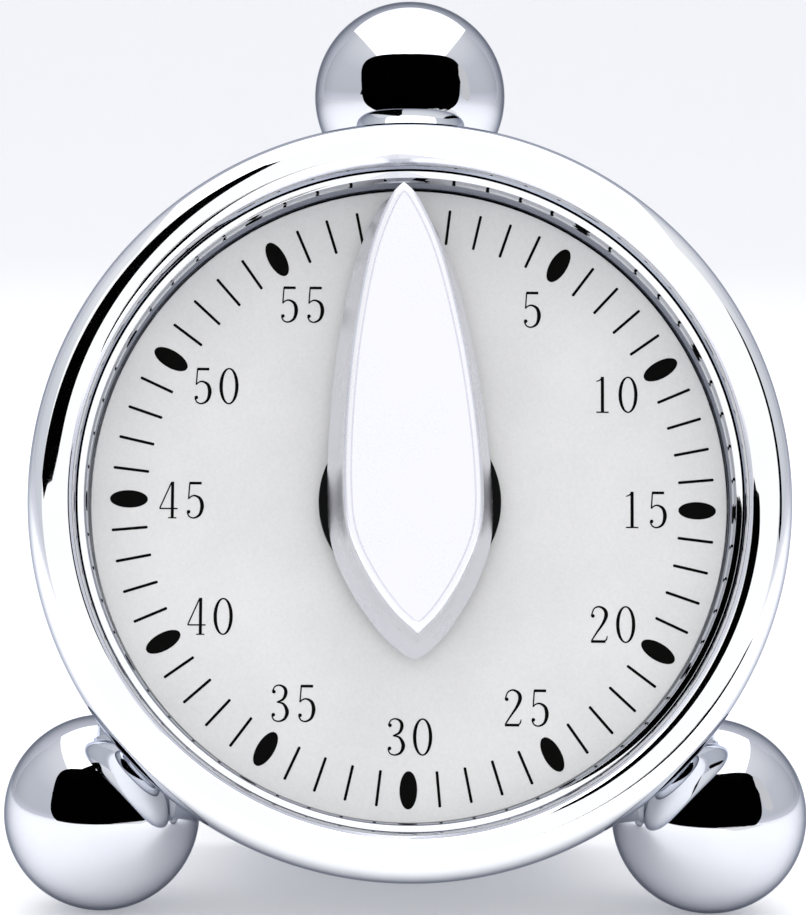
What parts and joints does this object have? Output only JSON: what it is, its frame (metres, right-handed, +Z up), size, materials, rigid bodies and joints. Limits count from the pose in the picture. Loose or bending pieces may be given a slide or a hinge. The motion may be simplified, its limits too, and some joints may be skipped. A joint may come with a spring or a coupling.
{
  "type": "kitchen timer",
  "caption": "Mechanical kitchen timer: round chrome case with a minute dial and drop-shaped pointer knob, leaning back on two polished balls and its rear rim, with a spring movement and a bell.",
  "frame": {"origin": "centre of the bounding box's base, on the floor", "axes": "+Z up, -Y towards the person who reads the dial, +X to that person's right"},
  "size_m": [0.0818, 0.066, 0.0926],
  "materials": {
    "chrome": "mirror chrome plate",
    "dial_silver": "satin silver lacquer, printed scale",
    "steel": "turned and pressed steel",
    "spring_steel": "blued spring steel",
    "brass": "pressed and cut brass",
    "bell_steel": "bright nickel-plated steel",
    "black_plastic": "fine satin texture"
  },
  "bodies": {
    "case": {"case_drum": "chrome", "bezel": "chrome", "dial_ring": "chrome", "dial_plate": "dial_silver", "carrier_plate": "steel", "stop_stud": "steel", "back_cover": "black_plastic", "cover_screw_1": "steel", "cover_screw_2": "steel", "cover_screw_3": "steel", "ball_top": "chrome", "ball_left": "chrome", "ball_right": "chrome", "ball_screw_top": "steel", "ball_screw_left": "steel", "ball_screw_right": "steel", "front_plate": "brass", "rear_plate": "brass", "pillar_1": "steel", "pillar_2": "steel", "pillar_3": "steel", "pillar_4": "steel", "pillar_nut_1": "brass", "pillar_nut_2": "brass", "pillar_nut_3": "brass", "pillar_nut_4": "brass", "movement_screw_1": "steel", "movement_screw_2": "steel", "movement_screw_3": "steel", "movement_screw_4": "steel", "mainspring": "spring_steel", "spring_stud": "steel", "bell": "bell_steel", "bell_post": "steel", "bell_nut": "steel"},
    "knob_and_main_wheel": {"knob": "chrome", "knob_collar": "black_plastic", "main_arbor": "steel", "main_wheel": "brass", "ratchet_wheel": "steel", "click": "steel", "strike_cam": "black_plastic"},
    "second_wheel_set": {"second_arbor": "steel", "second_wheel": "brass", "star_wheel": "steel"},
    "third_wheel_set": {"third_arbor": "steel", "third_wheel": "brass"},
    "escape_wheel_set": {"escape_arbor": "steel", "escape_wheel": "brass"},
    "balance_set": {"balance_staff": "steel", "balance_wheel": "brass", "pallet_lever": "steel"},
    "hammer_set": {"hammer_arbor": "steel", "hammer_finger": "steel", "hammer_tail": "steel", "hammer_arm": "steel", "hammer_head": "brass"}
  },
  "joints": [
    {"name": "knob_turn", "type": "hinge", "parent": "case", "child": "knob_and_main_wheel", "pos_m": [0, -0.0075, 0.04006], "axis": [0, 0.9745, -0.2243], "range_deg": [0, 352]},
    {"name": "second_wheel_spin", "type": "hinge", "parent": "case", "child": "second_wheel_set", "pos_m": [0.01341, -0.00497, 0.05103], "axis": [0, 0.9745, -0.2243], "continuous": true},
    {"name": "third_wheel_spin", "type": "hinge", "parent": "case", "child": "third_wheel_set", "pos_m": [0.018, -0.00746, 0.04022], "axis": [0, 0.9745, -0.2243], "continuous": true},
    {"name": "escape_wheel_spin", "type": "hinge", "parent": "case", "child": "escape_wheel_set", "pos_m": [0.01593, -0.00961, 0.03089], "axis": [0, 0.9745, -0.2243], "continuous": true},
    {"name": "balance_swing", "type": "hinge", "parent": "case", "child": "balance_set", "pos_m": [0.01009, -0.01176, 0.02156], "axis": [0, 0.9745, -0.2243], "range_deg": [-6, 6]},
    {"name": "hammer_swing", "type": "hinge", "parent": "case", "child": "hammer_set", "pos_m": [0.00621, -0.0023, 0.06265], "axis": [0, -0.9745, 0.2243], "range_deg": [0, 5]}
  ],
  "couplings": [
    {"joint": "second_wheel_spin", "follows": "knob_turn", "ratio": -6},
    {"joint": "third_wheel_spin", "follows": "knob_turn", "ratio": 30},
    {"joint": "escape_wheel_spin", "follows": "knob_turn", "ratio": -180}
  ]
}
